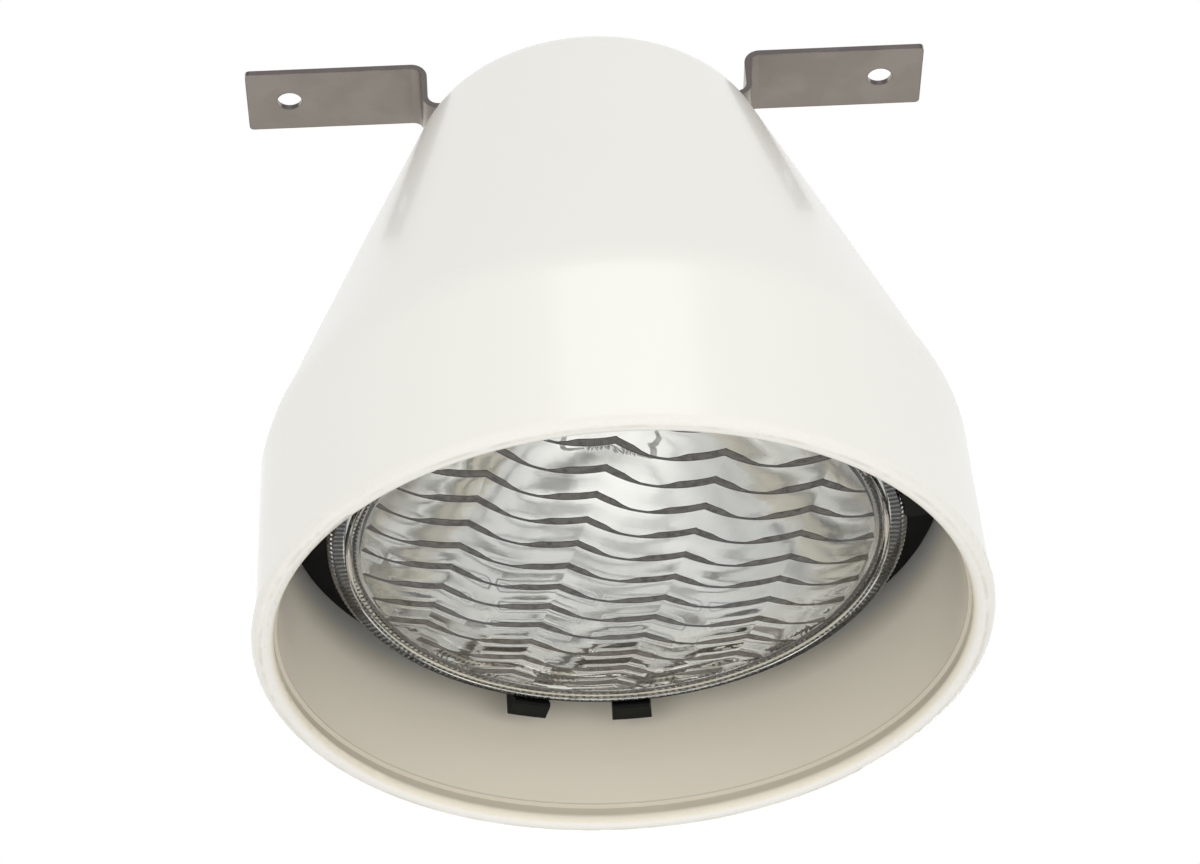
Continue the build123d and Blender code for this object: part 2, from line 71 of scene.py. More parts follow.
# Studio
# White all round, a pale floor well under the light with a lamp of its own, and large soft lamps at a
# level that keeps the ivory from clipping. The glass and the metal mirror the same white.
scene.view_settings.view_transform = "Standard"
room_colour = (0.97, 0.985, 1.0, 1.0)
room_level = 0.7
world = bpy.data.worlds.new("studio")
scene.world = world
world.use_nodes = True
world_nodes = world.node_tree.nodes
world_links = world.node_tree.links
world_nodes.clear()
world_out = world_nodes.new("ShaderNodeOutputWorld")
seen_or_lit = world_nodes.new("ShaderNodeMixShader")
room_light = world_nodes.new("ShaderNodeBackground")
room_light.inputs["Color"].default_value = room_colour
room_light.inputs["Strength"].default_value = room_level
white_back = world_nodes.new("ShaderNodeBackground")
white_back.inputs["Color"].default_value = (1.0, 1.0, 1.0, 1.0)
ray_kind = world_nodes.new("ShaderNodeLightPath")
seen_or_mirrored = world_nodes.new("ShaderNodeMath")
seen_or_mirrored.operation = "ADD"
seen_mirrored_or_through = world_nodes.new("ShaderNodeMath")
seen_mirrored_or_through.operation = "ADD"
seen_mirrored_or_through.use_clamp = True
world_links.new(ray_kind.outputs["Is Camera Ray"], seen_or_mirrored.inputs[0])
world_links.new(ray_kind.outputs["Is Glossy Ray"], seen_or_mirrored.inputs[1])
world_links.new(seen_or_mirrored.outputs["Value"], seen_mirrored_or_through.inputs[0])
world_links.new(ray_kind.outputs["Is Transmission Ray"], seen_mirrored_or_through.inputs[1])
world_links.new(seen_mirrored_or_through.outputs["Value"], seen_or_lit.inputs["Fac"])
world_links.new(room_light.outputs["Background"], seen_or_lit.inputs[1])
world_links.new(white_back.outputs["Background"], seen_or_lit.inputs[2])
world_links.new(seen_or_lit.outputs["Shader"], world_out.inputs["Surface"])

floor_depth = 1.9
half_floor = 40.0
floor_colour = (0.9, 0.9, 0.89, 1.0)
floor_roughness = 0.8
floor_mesh = bpy.data.meshes.new("studio_floor")
corner_sides = ((-1, -1), (1, -1), (1, 1), (-1, 1))
floor_corners = [(half_floor * side_x, half_floor * side_y, -floor_depth) for side_x, side_y in corner_sides]
floor_mesh.from_pydata(floor_corners, [], [(0, 1, 2, 3)])
studio_floor = bpy.data.objects.new("studio_floor", floor_mesh)
scene.collection.objects.link(studio_floor)


def shader_of(material):
    """The Principled shader of a material."""
    return material.node_tree.nodes["Principled BSDF"]


floor_paint = bpy.data.materials.new("floor_paint")
floor_paint.use_nodes = True
shader_of(floor_paint).inputs["Base Color"].default_value = floor_colour
shader_of(floor_paint).inputs["Roughness"].default_value = floor_roughness
floor_mesh.materials.append(floor_paint)
hood_middle = (0.0, 0.0, -0.08)
floor_middle = (0.0, 0.0, -floor_depth)


def soft_lamp(name, place, size, power, mirrored=True, towards=hood_middle):
    """A square studio lamp that faces the middle of the hood, or another point."""
    lamp = bpy.data.objects.new(name, bpy.data.lights.new(name, "AREA"))
    lamp.data.shape = "SQUARE"
    lamp.data.size = size
    lamp.data.energy = power
    lamp.location = place
    lamp.rotation_euler = (Vector(towards) - Vector(place)).to_track_quat("-Z", "Y").to_euler()
    lamp.visible_camera = False
    lamp.visible_glossy = mirrored
    lamp.visible_transmission = mirrored
    scene.collection.objects.link(lamp)


soft_lamp("lamp_below_left", place=(-0.7, -0.8, -0.75), size=0.8, power=3.4, mirrored=False)
soft_lamp("lamp_below_right", place=(0.8, -0.7, -0.6), size=0.8, power=3.0, mirrored=False)
soft_lamp("lamp_front", place=(0.1, -1.2, 0.7), size=0.9, power=2.8)
soft_lamp("lamp_back", place=(0.0, 1.2, 0.4), size=0.9, power=4.0)
soft_lamp("lamp_on_floor", place=(0.0, 0.0, -1.1), size=2.4, power=11.0, mirrored=False, towards=floor_middle)

# Mounting strap
# A flat bar of rolled stainless steel, bent twice at each end so that its two tabs lie on the deck head,
# and drilled for a screw each. Its rolled face has fine lines along the bar, and its cut edges are darker.


def shader_group(name, inputs, outputs):
    """A new shader group with its named sockets, and the nodes at its two ends."""
    group = bpy.data.node_groups.new(name, "ShaderNodeTree")
    for label, kind, value in inputs:
        socket = group.interface.new_socket(label, in_out="INPUT", socket_type=kind)
        socket.default_value = value
    for label, kind in outputs:
        group.interface.new_socket(label, in_out="OUTPUT", socket_type=kind)
    return group, group.nodes.new("NodeGroupInput"), group.nodes.new("NodeGroupOutput")


def maths(tree, operation, first, second=None):
    """A Math node whose inputs are sockets or numbers, and its output."""
    node = tree.nodes.new("ShaderNodeMath")
    node.operation = operation
    for socket, value in zip(node.inputs, (first, second)):
        if isinstance(value, bpy.types.NodeSocket):
            tree.links.new(value, socket)
        elif value is not None:
            socket.default_value = value
    return node.outputs["Value"]


def ramp(tree, value, low, high, to_low=0.0, to_high=1.0):
    """The value carried smoothly from one range of numbers to another."""
    node = tree.nodes.new("ShaderNodeMapRange")
    node.interpolation_type = "SMOOTHSTEP"
    tree.links.new(value, node.inputs["Value"])
    for label, end in (("From Min", low), ("From Max", high), ("To Min", to_low), ("To Max", to_high)):
        if isinstance(end, bpy.types.NodeSocket):
            tree.links.new(end, node.inputs[label])
        else:
            node.inputs[label].default_value = end
    return node.outputs["Result"]


def noise(tree, place, size, detail=3.0):
    """Noise whose lumps are about the given number of millimetres across."""
    node = tree.nodes.new("ShaderNodeTexNoise")
    node.inputs["Detail"].default_value = detail
    tree.links.new(place, node.inputs["Vector"])
    tree.links.new(maths(tree, "DIVIDE", 1 / MM, size), node.inputs["Scale"])
    return node.outputs["Fac"]


def colour_mix(tree, share, first, second):
    """Two colours, sockets or values, mixed by a share."""
    node = tree.nodes.new("ShaderNodeMix")
    node.data_type = "RGBA"
    tree.links.new(share, node.inputs["Factor"])
    for label, value in (("A", first), ("B", second)):
        socket = [entry for entry in node.inputs if entry.name == label and entry.type == "RGBA"][0]
        if isinstance(value, bpy.types.NodeSocket):
            tree.links.new(value, socket)
        else:
            socket.default_value = (*value, 1.0)
    return [entry for entry in node.outputs if entry.type == "RGBA"][0]


def build_mottle():
    """Patches of two colours with a fine grain, as on any moulded, cast or handled surface."""
    group, start, end = shader_group(
        "mottle",
        [
            ("Main Colour", "NodeSocketColor", (0.8, 0.8, 0.8, 1.0)),
            ("Patch Colour", "NodeSocketColor", (0.7, 0.7, 0.7, 1.0)),
            ("Patch Size", "NodeSocketFloat", 20.0),
            ("Grain Size", "NodeSocketFloat", 1.0),
            ("Smoothest", "NodeSocketFloat", 0.3),
            ("Roughest", "NodeSocketFloat", 0.5),
        ],
        [("Colour", "NodeSocketColor"), ("Roughness", "NodeSocketFloat"), ("Height", "NodeSocketFloat")],
    )
    place = group.nodes.new("ShaderNodeTexCoord").outputs["Object"]
    patches = noise(group, place, start.outputs["Patch Size"], detail=4.0)
    grain = noise(group, place, start.outputs["Grain Size"], detail=2.0)
    share = ramp(group, patches, low=0.38, high=0.62)
    colour = colour_mix(group, share, start.outputs["Main Colour"], start.outputs["Patch Colour"])
    patch_part = 0.6
    grain_part = 0.4
    from_patches = maths(group, "MULTIPLY", share, patch_part)
    from_grain = maths(group, "MULTIPLY", grain, grain_part)
    dullness = maths(group, "ADD", from_patches, from_grain)
    smoothest = start.outputs["Smoothest"]
    roughest = start.outputs["Roughest"]
    rough = ramp(group, dullness, low=0.1, high=0.8, to_low=smoothest, to_high=roughest)
    group.links.new(colour, end.inputs["Colour"])
    group.links.new(rough, end.inputs["Roughness"])
    group.links.new(grain, end.inputs["Height"])
    return group


def build_drawn_lines():
    """Fine lines left by rolling, drawing or turning, long in the direction of the Stretch vector."""
    group, start, end = shader_group(
        "drawn_lines",
        [("Stretch", "NodeSocketVector", (0.04, 1.0, 1.0)), ("Line Size", "NodeSocketFloat", 0.4)],
        [("Height", "NodeSocketFloat")],
    )
    place = group.nodes.new("ShaderNodeTexCoord").outputs["Object"]
    squeeze = group.nodes.new("ShaderNodeVectorMath")
    squeeze.operation = "MULTIPLY"
    group.links.new(place, squeeze.inputs[0])
    group.links.new(start.outputs["Stretch"], squeeze.inputs[1])
    lines = noise(group, squeeze.outputs["Vector"], start.outputs["Line Size"], detail=5.0)
    group.links.new(lines, end.inputs["Height"])
    return group


def build_worn_edges():
    """A mask that is strong along sharp edges and broken up by noise."""
    group, start, end = shader_group(
        "worn_edges",
        [("Width", "NodeSocketFloat", 0.4), ("Breaks", "NodeSocketFloat", 3.0)],
        [("Mask", "NodeSocketFloat")],
    )
    rounded = group.nodes.new("ShaderNodeBevel")
    rounded.samples = 4
    group.links.new(maths(group, "MULTIPLY", start.outputs["Width"], MM), rounded.inputs["Radius"])
    facing = group.nodes.new("ShaderNodeVectorMath")
    facing.operation = "DOT_PRODUCT"
    flat = group.nodes.new("ShaderNodeNewGeometry")
    group.links.new(rounded.outputs["Normal"], facing.inputs[0])
    group.links.new(flat.outputs["Normal"], facing.inputs[1])
    turned_away = maths(group, "SUBTRACT", 1.0, facing.outputs["Value"])
    edge = ramp(group, turned_away, low=0.01, high=0.2)
    place = group.nodes.new("ShaderNodeTexCoord").outputs["Object"]
    breaks = ramp(group, noise(group, place, start.outputs["Breaks"]), low=0.3, high=0.6)
    group.links.new(maths(group, "MULTIPLY", edge, breaks), end.inputs["Mask"])
    return group


mottle = build_mottle()
drawn_lines = build_drawn_lines()
worn_edges = build_worn_edges()


def use_group(tree, group, values):
    """One use of a shader group, with its own values."""
    node = tree.nodes.new("ShaderNodeGroup")
    node.node_tree = group
    for label, value in values.items():
        node.inputs[label].default_value = value
    return node


def finish(name, main, patch, sizes, rough, depth, metallic=0.0):
    """A material in patches of two colours with a fine grain. Its sizes and depth are in millimetres."""
    material = bpy.data.materials.new(name)
    material.use_nodes = True
    tree = material.node_tree
    shader = shader_of(material)
    shader.inputs["Metallic"].default_value = metallic
    patch_size, grain_size = sizes
    smoothest, roughest = rough
    surface = use_group(
        tree,
        mottle,
        {
            "Main Colour": (*main, 1.0),
            "Patch Colour": (*patch, 1.0),
            "Patch Size": patch_size,
            "Grain Size": grain_size,
            "Smoothest": smoothest,
            "Roughest": roughest,
        },
    )
    bump = tree.nodes.new("ShaderNodeBump")
    bump.inputs["Strength"].default_value = 1.0
    bump.inputs["Distance"].default_value = depth * MM
    tree.links.new(surface.outputs["Height"], bump.inputs["Height"])
    tree.links.new(bump.outputs["Normal"], shader.inputs["Normal"])
    tree.links.new(surface.outputs["Colour"], shader.inputs["Base Color"])
    tree.links.new(surface.outputs["Roughness"], shader.inputs["Roughness"])
    return material


def recolour(material, mask, colour):
    """The colour that the material has so far gives way to another where the mask is strong."""
    tree = material.node_tree
    base = shader_of(material).inputs["Base Color"]
    so_far = base.links[0].from_socket
    tree.links.new(colour_mix(tree, mask, so_far, colour), base)


def wear_edges(material, colour, width, breaks):
    """The material's sharp edges get another colour, over a width in millimetres and with breaks in it."""
    edges = use_group(material.node_tree, worn_edges, {"Width": width, "Breaks": breaks})
    recolour(material, edges.outputs["Mask"], colour)


def add_lines(material, stretch, line_size):
    """Drawn lines are added to the material's bumps."""
    tree = material.node_tree
    height = shader_of(material).inputs["Normal"].links[0].from_node.inputs["Height"]
    grain = height.links[0].from_socket
    lines = use_group(tree, drawn_lines, {"Stretch": stretch, "Line Size": line_size})
    tree.links.new(maths(tree, "ADD", lines.outputs["Height"], grain), height)


def dress(material, *nodes):
    """CAD nodes keep their shape and get this material."""
    for node in nodes:
        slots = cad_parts[node].data.materials
        slots.clear()
        slots.append(material)


strap_steel = finish(
    "strap_steel",
    main=(0.38, 0.34, 0.30),
    patch=(0.35, 0.312, 0.272),
    sizes=(14.0, 0.8),
    rough=(0.36, 0.44),
    depth=0.03,
    metallic=1.0,
)
cut_edge_colour = (0.10, 0.09, 0.088)
worn_edge_colour = (0.10, 0.085, 0.07)
add_lines(strap_steel, stretch=(0.03, 1.0, 1.0), line_size=0.35)
tree = strap_steel.node_tree
facing = tree.nodes.new("ShaderNodeSeparateXYZ")
tree.links.new(tree.nodes.new("ShaderNodeNewGeometry").outputs["Normal"], facing.inputs["Vector"])
on_cut_edge = ramp(tree, maths(tree, "ABSOLUTE", facing.outputs["Y"]), low=0.6, high=0.8)
recolour(strap_steel, on_cut_edge, cut_edge_colour)
wear_edges(strap_steel, worn_edge_colour, width=0.5, breaks=6.0)
dress(strap_steel, "hat_bracket")

# Pad under the strap
# A thin sheet of black rubber between the strap's base and the plastic, cut to the flat of the back.
# It keeps the steel from biting into the housing and seals round the screws.
black_rubber = finish(
    "black_rubber",
    main=(0.018, 0.018, 0.017),
    patch=(0.035, 0.034, 0.032),
    sizes=(9.0, 0.35),
    rough=(0.6, 0.85),
    depth=0.06,
)
dress(black_rubber, "bracket_pad")

# Strap screws, washers and nuts
# Two slotted stainless screws go down through strap, pad and housing, each with a plain washer and a
# hexagon nut inside. They are turned and stamped, bright, and dulled a little along their edges.
screw_steel = finish(
    "screw_steel",
    main=(0.60, 0.59, 0.56),
    patch=(0.50, 0.49, 0.46),
    sizes=(4.0, 0.25),
    rough=(0.22, 0.36),
    depth=0.015,
    metallic=1.0,
)
wear_edges(screw_steel, (0.74, 0.73, 0.70), width=0.3, breaks=1.5)
dress(screw_steel, "bracket_screws", "bracket_washers", "bracket_nuts")

# Housing
# The hood is one thick moulding in glossy ivory plastic: a rounded back, a cone and a collar whose mouth
# ends in a rolled rim. The inside of the collar is coloured a shade darker and warmer as painted shade, and
# the lip behind the rim darker still as a painted shadow; dirt has settled on the rim and in a thin line
# round it.


def distance_from_axis(tree, place):
    """How far each point lies from the upright axis through the middle of the light."""
    level = tree.nodes.new("ShaderNodeVectorMath")
    level.operation = "MULTIPLY"
    level.inputs[1].default_value = (1.0, 1.0, 0.0)
    tree.links.new(place, level.inputs[0])
    length = tree.nodes.new("ShaderNodeVectorMath")
    length.operation = "LENGTH"
    tree.links.new(level.outputs["Vector"], length.inputs[0])
    return length.outputs["Value"]


def band(tree, value, start, full, last, end):
    """A mask that rises from start to full and falls from last to end, in millimetres of the value."""
    rising = ramp(tree, value, start * MM, full * MM)
    falling = ramp(tree, value, last * MM, end * MM, to_low=1.0, to_high=0.0)
    return maths(tree, "MULTIPLY", rising, falling)


mouth_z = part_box("housing_shell")[0][2] / MM
collar_inside_radius = 68.4
collar_radius_blur = 0.3
collar_top_z = -112.0
collar_top_blur = 2.0
# Painted shade: the collar's inside, below the ledge, takes a darker, warmer colour for the shade that falls
# in it.
painted_inside_shade_colour = (0.88, 0.815, 0.68)
# Painted shadow: a darker brown band on the lip just inside the rim, where the step lies in shade.
lip_painted_shadow_band = (1.4, 2.2, 4.1, 4.6)
lip_painted_shadow_colour = (0.64, 0.575, 0.46)
scuffed_height = 3.2
scuff_size = 0.6
scuff_strength = 0.09
dirt_line_radius = 70.3
dirt_line_band = (-0.7, -0.3, 0.0, 0.5)
dirt_streak_size = 5.0
dirt_colour = (0.50, 0.41, 0.29)
ivory_plastic = finish(
    "ivory_plastic",
    main=(0.865, 0.845, 0.785),
    patch=(0.862, 0.841, 0.780),
    sizes=(45.0, 0.7),
    rough=(0.24, 0.27),
    depth=0.006,
)
shader_of(ivory_plastic).inputs["Coat Weight"].default_value = 0.25
shader_of(ivory_plastic).inputs["Coat Roughness"].default_value = 0.08
tree = ivory_plastic.node_tree
place = tree.nodes.new("ShaderNodeTexCoord").outputs["Object"]
split = tree.nodes.new("ShaderNodeSeparateXYZ")
tree.links.new(place, split.inputs["Vector"])
upward = split.outputs["Z"]
across = distance_from_axis(tree, place)
collar_inner = (collar_inside_radius - collar_radius_blur) * MM
collar_outer = collar_inside_radius * MM
in_collar = ramp(tree, across, collar_inner, collar_outer, to_low=1.0, to_high=0.0)
ledge_low = (collar_top_z - collar_top_blur) * MM
ledge_high = collar_top_z * MM
under_ledge = ramp(tree, upward, ledge_low, ledge_high, to_low=1.0, to_high=0.0)
# This mask carries the painted shade inside the collar.
painted_inside_shade_mask = maths(tree, "MULTIPLY", in_collar, under_ledge)
recolour(ivory_plastic, painted_inside_shade_mask, painted_inside_shade_colour)
# The painted shadow on the lip behind the rim, inside the collar only.
lip_painted_shadow_mask = band(tree, upward, *[mouth_z + height for height in lip_painted_shadow_band])
recolour(ivory_plastic, maths(tree, "MULTIPLY", lip_painted_shadow_mask, painted_inside_shade_mask), lip_painted_shadow_colour)
near_rim = ramp(tree, upward, mouth_z * MM, (mouth_z + scuffed_height) * MM, to_low=1.0, to_high=0.0)
scuff_noise = noise(tree, place, scuff_size, detail=4.0)
scuffs = ramp(tree, scuff_noise, low=0.35, high=0.75, to_low=0.25, to_high=1.0)
scuffed = maths(tree, "MULTIPLY", maths(tree, "MULTIPLY", near_rim, scuffs), scuff_strength)
all_round = band(tree, across, *[dirt_line_radius + offset for offset in dirt_line_band])
line = maths(tree, "MULTIPLY", all_round, near_rim)
streak_noise = noise(tree, place, dirt_streak_size)
streaks = ramp(tree, streak_noise, low=0.35, high=0.65, to_low=0.05, to_high=0.3)
dirt = maths(tree, "MAXIMUM", scuffed, maths(tree, "MULTIPLY", line, streaks))
recolour(ivory_plastic, dirt, dirt_colour)
dress(ivory_plastic, "housing_shell")

# Grommet
# A soft black rubber bush with a groove round it, pushed into the hole in the housing's back.
# The supply cable comes in through its bore, and its two lips keep the water out.
dress(black_rubber, "cable_grommet")

# Lamp carrier and its gaskets
# A black moulded ring, screwed up against the ledge inside the hood on a flat rubber gasket. Its six
# hooked lugs hold the lamp's flange, which turns on a second gasket when the beam is set.
black_plastic = finish(
    "black_plastic",
    main=(0.004, 0.0045, 0.004),
    patch=(0.007, 0.0075, 0.0065),
    sizes=(12.0, 0.5),
    rough=(0.42, 0.55),
    depth=0.02,
)
shader_of(black_plastic).inputs["Specular IOR Level"].default_value = 0.1
wear_edges(black_plastic, (0.018, 0.018, 0.017), width=0.3, breaks=2.5)
dress(black_plastic, "lamp_carrier")
dress(black_rubber, "carrier_gasket", "lamp_gasket")
dress(screw_steel, "carrier_screws")

# Terminal block
# A cream moulded block under the housing's back with two brass clamps in it, held by two screws.
# Each supply wire meets a lamp lead in a clamp, under two small steel screws.
block_plastic = finish(
    "block_plastic",
    main=(0.78, 0.745, 0.66),
    patch=(0.72, 0.68, 0.59),
    sizes=(8.0, 0.4),
    rough=(0.36, 0.5),
    depth=0.02,
)
brass = finish(
    "brass",
    main=(0.72, 0.52, 0.24),
    patch=(0.60, 0.42, 0.18),
    sizes=(5.0, 0.3),
    rough=(0.24, 0.42),
    depth=0.015,
    metallic=1.0,
)
wear_edges(brass, (0.83, 0.66, 0.36), width=0.3, breaks=1.5)
dress(block_plastic, "terminal_block")
dress(brass, "block_clamps")
dress(screw_steel, "clamp_screws", "block_fixing_screws")

# Lamp bowl
# The back of the sealed lamp: pressed glass, silvered over a parabola inside and on its flange, with two
# bosses for the contacts and the pip where the air was drawn out. The silver shows slight ripples.
silvered_glass = finish(
    "silvered_glass",
    main=(0.97, 0.96, 0.935),
    patch=(0.94, 0.93, 0.905),
    sizes=(16.0, 5.0),
    rough=(0.10, 0.16),
    depth=0.02,
    metallic=1.0,
)
silver_edge_radius = 53.6
silver_edge_blur = 0.5
bare_flange = (0.16, 0.16, 0.15)
tree = silvered_glass.node_tree
place = tree.nodes.new("ShaderNodeTexCoord").outputs["Object"]
silver_end = (silver_edge_radius + silver_edge_blur) * MM
beyond_silver = ramp(tree, distance_from_axis(tree, place), silver_edge_radius * MM, silver_end)
recolour(silvered_glass, beyond_silver, bare_flange)
dress(silvered_glass, "lamp_reflector")

# Filament and its posts
# A coil of tungsten wire at the focus of the bowl, with its ends on two bent wire posts that come
# through the glass bosses. The wire is grey from drawing and from heat.
tungsten = finish(
    "tungsten",
    main=(0.66, 0.66, 0.65),
    patch=(0.55, 0.55, 0.55),
    sizes=(1.5, 0.1),
    rough=(0.35, 0.5),
    depth=0.01,
    metallic=1.0,
)
dress(tungsten, "filament_coil")
post_steel = finish(
    "post_steel",
    main=(0.56, 0.55, 0.53),
    patch=(0.46, 0.45, 0.43),
    sizes=(2.0, 0.1),
    rough=(0.3, 0.45),
    depth=0.01,
    metallic=1.0,
)
dress(post_steel, "filament_posts")

# Contacts on the back of the lamp
# A spun steel cap over each post, a brass plate on it, and the ring of a crimped terminal under a brass
# screw. The terminals' barrels hold the bared ends of the two leads.
cap_steel = finish(
    "cap_steel",
    main=(0.56, 0.55, 0.53),
    patch=(0.47, 0.46, 0.44),
    sizes=(5.0, 0.3),
    rough=(0.28, 0.42),
    depth=0.02,
    metallic=1.0,
)
add_lines(cap_steel, stretch=(1.0, 1.0, 0.05), line_size=0.5)
dress(cap_steel, "reflector_ferrules")
dress(brass, "terminal_plates", "ring_terminals", "terminal_screws")

# Lens
# The front of the sealed lamp: clear pressed glass, domed and smooth outside. Inside, rows of shallow
# prisms cross four broad flutes to spread the beam, with a ring of fine ribs round them, and its flange
# is fused to the bowl. The steps between prisms, the sides of the ribs and every other face of the flange's
# ridges are opaque and dark, as painted shade for the dark lines the glass shows there.
lens_low, lens_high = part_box("lamp_lens")
flange_radius = lens_high[0] / MM
seam_z = lens_high[2] / MM
dome_tip_z = lens_low[2] / MM
core_top_z = seam_z - 1.0
seam_gap = 0.05

# The flange, its fine ridges, and the raised bead where the dome starts.
flange_depth = 3.0
flange_chamfer = 1.2
flange_front_z = seam_z - flange_depth
ridge_depth = 0.3
ridge_length = 3.2
bead_radius = 52.7
bead_height = 1.0
bead_crest = 0.35
bead_foot = 0.9
bead_section = [(0.6, 0.6), (0.2, 1.0), (-0.3, 0.7)]
bead_inner_edge = 0.6
bead_z = flange_front_z - bead_height

# The dome outside and the shallower bowl of the inner face.
dome_height = bead_z - dome_tip_z
glass_thickness = 3.7
inner_tip_z = dome_tip_z + glass_thickness
inner_dome_radius = 210.0

# The ring of ribs round the relief.
rib_count = 240
rib_radius = 51.0
rib_depth = 0.6
rib_top = 0.4
rib_wall = 0.7
rib_wall_slope = 0.2
rib_wall_foot = 0.6
shelf_drop = 1.2

# The relief: rows of prisms across columns that are flutes. A row bows up in the middle of a column and
# ends in a step, which is higher towards the back, and thicker on both sides of a column's edge.
relief_radius = 50.2
relief_turn = math.radians(14.5)
row_pitch = 7.35
row_shift = -6.4
row_bow = 2.2
column_width = 21.4
column_shift = 0.5
half_column = 0.497
flute_depth = 0.42
step_near = 0.12
step_far = 0.42
step_growth_start = -2.0
step_growth_length = 34.0
step_thin = 0.08
step_thick = 0.27
step_edge = 0.03
before_edge_start = 0.0
after_edge_start = -0.3
after_edge_share = 0.75
thickening_length = 0.4
cutter_overlap = 0.15
cutter_rise = 2.0

# The lens's material slots: those of two neighbouring faces of a ring, and those down one row. The two dark
# slots are painted shade.
CLEAR, PAINTED_SHADE, PAINTED_HALF_SHADE = 0, 1, 2
PLAIN = (CLEAR, CLEAR)
RIBS = (PAINTED_HALF_SHADE, PAINTED_SHADE)
RIDGES = (CLEAR, PAINTED_SHADE)
ROW = (CLEAR, CLEAR, CLEAR, PAINTED_SHADE, PAINTED_HALF_SHADE, PAINTED_SHADE)


def dome_z(radius):
    """Height of the lens's outer dome at a radius."""
    sphere = (bead_radius**2 + dome_height**2) / (2 * dome_height)
    return dome_tip_z + sphere - math.sqrt(sphere**2 - radius**2)


def inner_z(radius):
    """Height of the lens's inner face at a radius, under its prisms."""
    return inner_tip_z + radius**2 / (2 * inner_dome_radius)


def lens_profile():
    """Points down the inside, round the flange and over the dome: radius, height, ripple, face materials."""
    shelf_z = inner_z(relief_radius) - shelf_drop
    back_z = seam_z - seam_gap
    wall_z = seam_z + rib_top
    ridge_radius = flange_radius - ridge_depth
    side_z = flange_front_z + flange_chamfer
    points = [
        (0.0, core_top_z, 0.0, PLAIN),
        (relief_radius, core_top_z, 0.0, PLAIN),
        (relief_radius, shelf_z, 0.0, PLAIN),
        (rib_radius, shelf_z, rib_depth, RIBS),
        (rib_radius, wall_z, rib_depth, PLAIN),
        (rib_radius + rib_wall, wall_z, 0.0, PLAIN),
        (rib_radius + rib_wall + rib_wall_slope, back_z - rib_wall_foot, 0.0, PLAIN),
        (bead_radius, back_z, 0.0, PLAIN),
        (flange_radius - ridge_length, back_z, 0.0, RIDGES),
        (ridge_radius, back_z, ridge_depth, RIDGES),
        (ridge_radius, side_z, ridge_depth, PLAIN),
        (flange_radius - flange_chamfer, flange_front_z, 0.0, PLAIN),
        (bead_radius + bead_foot, flange_front_z, 0.0, PLAIN),
    ]
    for offset, share in bead_section:
        points.append((bead_radius + offset, bead_z - share * bead_crest, 0.0, PLAIN))
    dome_steps = 16
    for step in range(1, dome_steps + 1):
        radius = (bead_radius - bead_inner_edge) * (1 - step / dome_steps)
        points.append((radius, dome_z(radius), 0.0, PLAIN))
    return points


def turned_lens():
    """The lens as a turned solid, rippled by its ribs and ridges, with its relief still uncut."""
    mesh = bmesh.new()
    profile = lens_profile()
    spokes = 2 * rib_count
    rings = []
    for radius, z, reach, _ in profile:
        if radius == 0.0:
            rings.append([mesh.verts.new((0.0, 0.0, z * MM))] * spokes)
            continue
        ring = []
        for spoke in range(spokes):
            angle = 2 * math.pi * spoke / spokes
            far = radius + spoke % 2 * reach
            x = far * math.cos(angle)
            y = far * math.sin(angle)
            ring.append(mesh.verts.new((x * MM, y * MM, z * MM)))
        rings.append(ring)
    for (*_, materials), upper, lower in zip(profile, rings, rings[1:]):
        for spoke in range(spokes):
            after = (spoke + 1) % spokes
            corners = dict.fromkeys([upper[spoke], upper[after], lower[after], lower[spoke]])
            face = mesh.faces.new(list(corners))
            face.material_index = materials[spoke % 2]
    bmesh.ops.recalc_face_normals(mesh, faces=mesh.faces)
    return mesh


def slope_share(along):
    """How much of a row's pitch its slope takes, the rest being its step, from -1 to 1 across a column."""
    before_edge = min(max((along - before_edge_start) / thickening_length, 0.0), 1.0)
    after_edge = after_edge_share * min(max((after_edge_start - along) / thickening_length, 0.0), 1.0)
    swell = max(before_edge, after_edge)
    return 1 - step_thin - (step_thick - step_thin) * swell**2 * (3 - 2 * swell)


def relief_line(u, along, rows):
    """Points over all the rows at one place in a column, each row with its slope and its step."""
    flute = 1 - along**2
    slope = slope_share(along)
    shares = (0.0, slope / 3, 2 * slope / 3, slope, slope + step_edge, 1 - step_edge)
    points = []
    for row in rows:
        for index, share in enumerate(shares):
            v = row_shift + (row + share) * row_pitch + row_bow * flute
            x = u * math.cos(relief_turn) - v * math.sin(relief_turn)
            y = u * math.sin(relief_turn) + v * math.cos(relief_turn)
            farness = min(max((v - step_growth_start) / step_growth_length, 0.0), 1.0)
            step = step_near + (step_far - step_near) * farness
            climbed = share / slope if index <= 3 else (1 - share) / (1 - slope)
            rise = flute_depth * (0.5 - flute) + step * (climbed - 0.5)
            points.append((x * MM, y * MM, (inner_z(math.hypot(x, y)) + rise) * MM))
    return points


